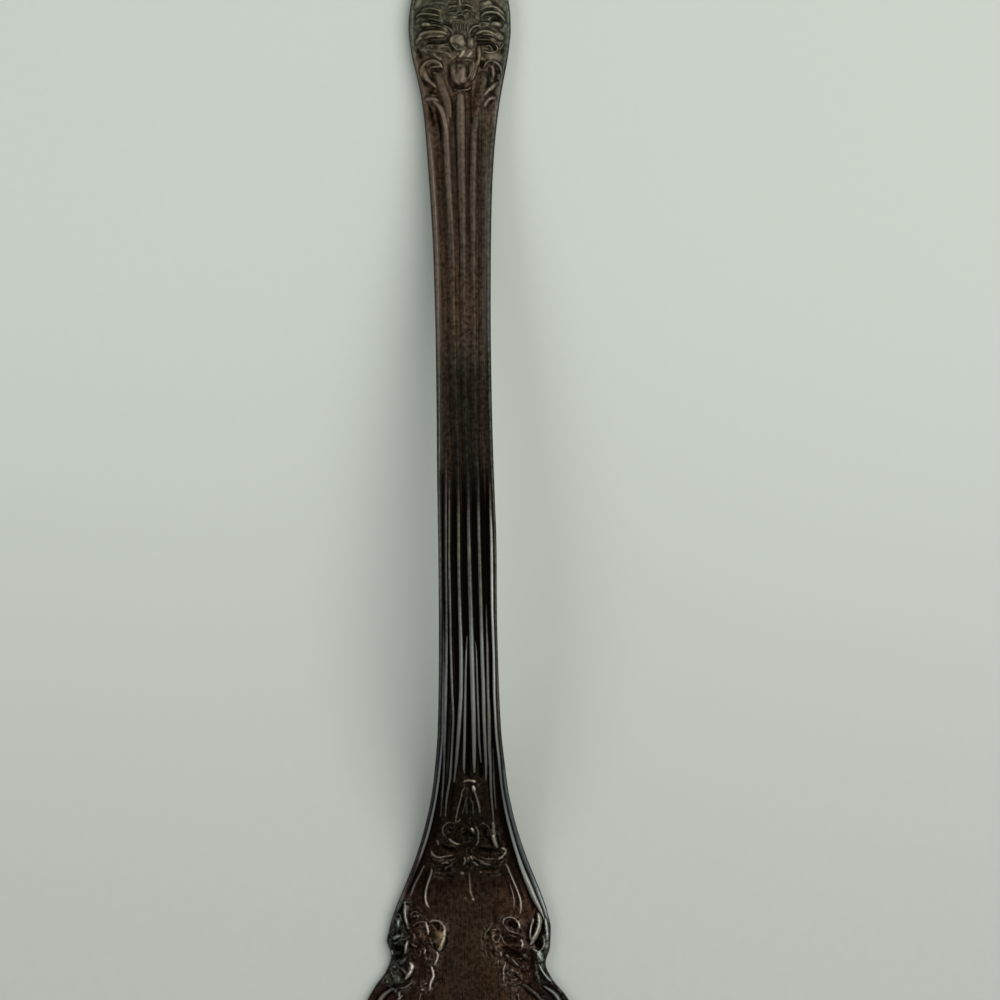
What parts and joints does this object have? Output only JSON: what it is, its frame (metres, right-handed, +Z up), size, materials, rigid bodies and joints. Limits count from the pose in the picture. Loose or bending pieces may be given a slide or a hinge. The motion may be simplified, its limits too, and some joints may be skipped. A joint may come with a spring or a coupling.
{
  "type": "oyster fork",
  "caption": "Small table fork with slim reeded stem, struck floral handle end and a narrow head with pointed tines.",
  "frame": {"origin": "middle of the fork's outline in plan, on the surface that it rests on", "axes": "+X across the fork, +Y along it from the handle's end towards the tines, +Z up from the ornamented side"},
  "size_m": [0.0214, 0.146, 0.0111],
  "materials": {
    "struck_ground": "heavily tarnished silver plate, dark brown in the grounds",
    "raised_work": "tarnished silver plate, rubbed paler on the high points",
    "head_metal": "tarnished silver plate, worn smooth"
  },
  "bodies": {
    "root": {"handle_end": "struck_ground", "handle_shell": "raised_work", "handle_border_left": "raised_work", "handle_border_right": "raised_work", "cartouche_frame": "raised_work", "shoulder": "struck_ground", "shoulder_leaf_left": "raised_work", "shoulder_leaf_right": "raised_work", "flower_spray_left": "raised_work", "flower_spray_right": "raised_work", "field_edge_left": "raised_work", "field_edge_right": "raised_work", "bellflower_drop": "raised_work", "garland": "raised_work", "anthemion": "raised_work", "pendant": "raised_work", "stem": "struck_ground", "rim_left": "raised_work", "rim_right": "raised_work", "reed_left": "raised_work", "reed_centre": "raised_work", "reed_right": "raised_work", "thread_left": "raised_work", "thread_right": "raised_work", "neck": "struck_ground", "neck_scroll_left": "raised_work", "neck_scroll_right": "raised_work", "collar": "raised_work", "bud": "raised_work", "palmette_left": "raised_work", "palmette_right": "raised_work", "head_ridge": "raised_work", "palm": "head_metal", "tine_left": "head_metal", "tine_centre": "head_metal", "tine_right": "head_metal"}
  },
  "joints": []
}
